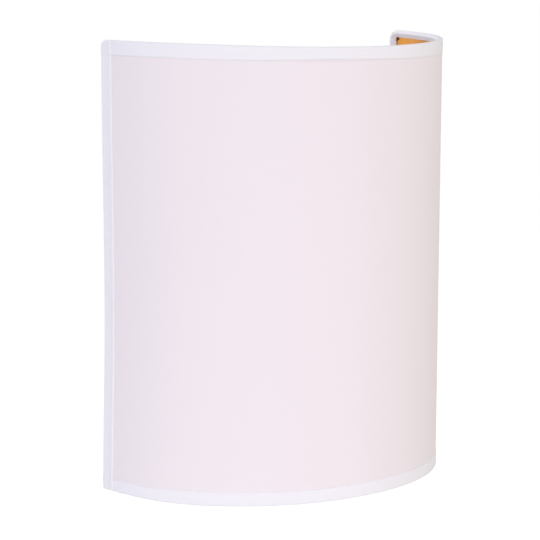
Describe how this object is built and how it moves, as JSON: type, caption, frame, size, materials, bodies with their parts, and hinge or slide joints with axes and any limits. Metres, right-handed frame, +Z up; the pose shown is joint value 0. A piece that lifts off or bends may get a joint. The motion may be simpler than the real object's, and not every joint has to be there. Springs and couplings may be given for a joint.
{
  "type": "fabric shade wall light",
  "caption": "Half-drum wall light: a taped white fabric shade with a gold lining hangs on a wall plate that carries a lamp holder and bulb.",
  "frame": {"origin": "on the wall, midway between the two fixing slots, at mid-height of the shade", "axes": "+Z up, -Y out of the wall towards the room, +X to the right as seen from the front"},
  "size_m": [0.2606, 0.131, 0.3],
  "materials": {
    "fabric": "fine plain-weave cotton, matt, faintly pink white",
    "tape": "fine cotton tape, matt, cool white",
    "gold_film": "brushed gold metallised film, satin",
    "bright_steel": "zinc-plated, semi-bright",
    "white_enamel": "fine satin powder coat",
    "rubber": "matt",
    "clear_nylon": "slightly milky moulded nylon",
    "brass": "plain, semi-bright",
    "white_thermoplastic": "moulded, semi-gloss",
    "ceramic": "unglazed steatite",
    "black_glass": "glossy black glass",
    "aluminium": "thin drawn sheet, semi-bright",
    "bulb_plastic": "moulded, semi-gloss",
    "yellow_phosphor": "matt silicone with phosphor",
    "opal_plastic": "opal, satin"
  },
  "bodies": {
    "fitting": {"wall_plate": "white_enamel", "canopy": "white_enamel", "canopy_screws": "bright_steel", "cable_grommet": "rubber", "terminal_block": "clear_nylon", "terminal_tubes": "brass", "terminal_screws": "bright_steel", "terminal_fixing_screw": "bright_steel", "earth_screw": "brass", "earth_washer": "brass", "arm_tube": "white_enamel", "arm_collar": "white_enamel", "arm_washer": "bright_steel", "arm_nut": "brass", "holder_cap": "white_thermoplastic", "holder_skirt": "white_thermoplastic", "holder_lock_screw": "bright_steel", "contact_carrier": "ceramic", "screw_shell": "brass", "centre_contact": "brass", "side_contact": "brass", "contact_rivets": "brass"},
    "shade": {"fabric_cover": "fabric", "gold_lining": "gold_film", "top_trim": "tape", "bottom_trim": "tape", "left_side_trim": "tape", "right_side_trim": "tape", "rim_wire": "bright_steel", "upper_carrier": "white_enamel", "lower_carrier": "white_enamel"},
    "bulb": {"bulb_contact": "bright_steel", "bulb_insulator": "black_glass", "bulb_screw_cap": "aluminium", "bulb_housing": "bulb_plastic", "led_board": "aluminium", "led_chips": "yellow_phosphor", "bulb_diffuser": "opal_plastic"}
  },
  "joints": [
    {"name": "shade_lift", "type": "slide", "parent": "fitting", "child": "shade", "axis": [0, 0, 1], "range_m": [0, 0.012]},
    {"name": "bulb_turn", "type": "hinge", "parent": "fitting", "child": "bulb", "pos_m": [0, -0.068, 0], "axis": [0, 0, 1], "range_deg": [0, 1080]}
  ]
}
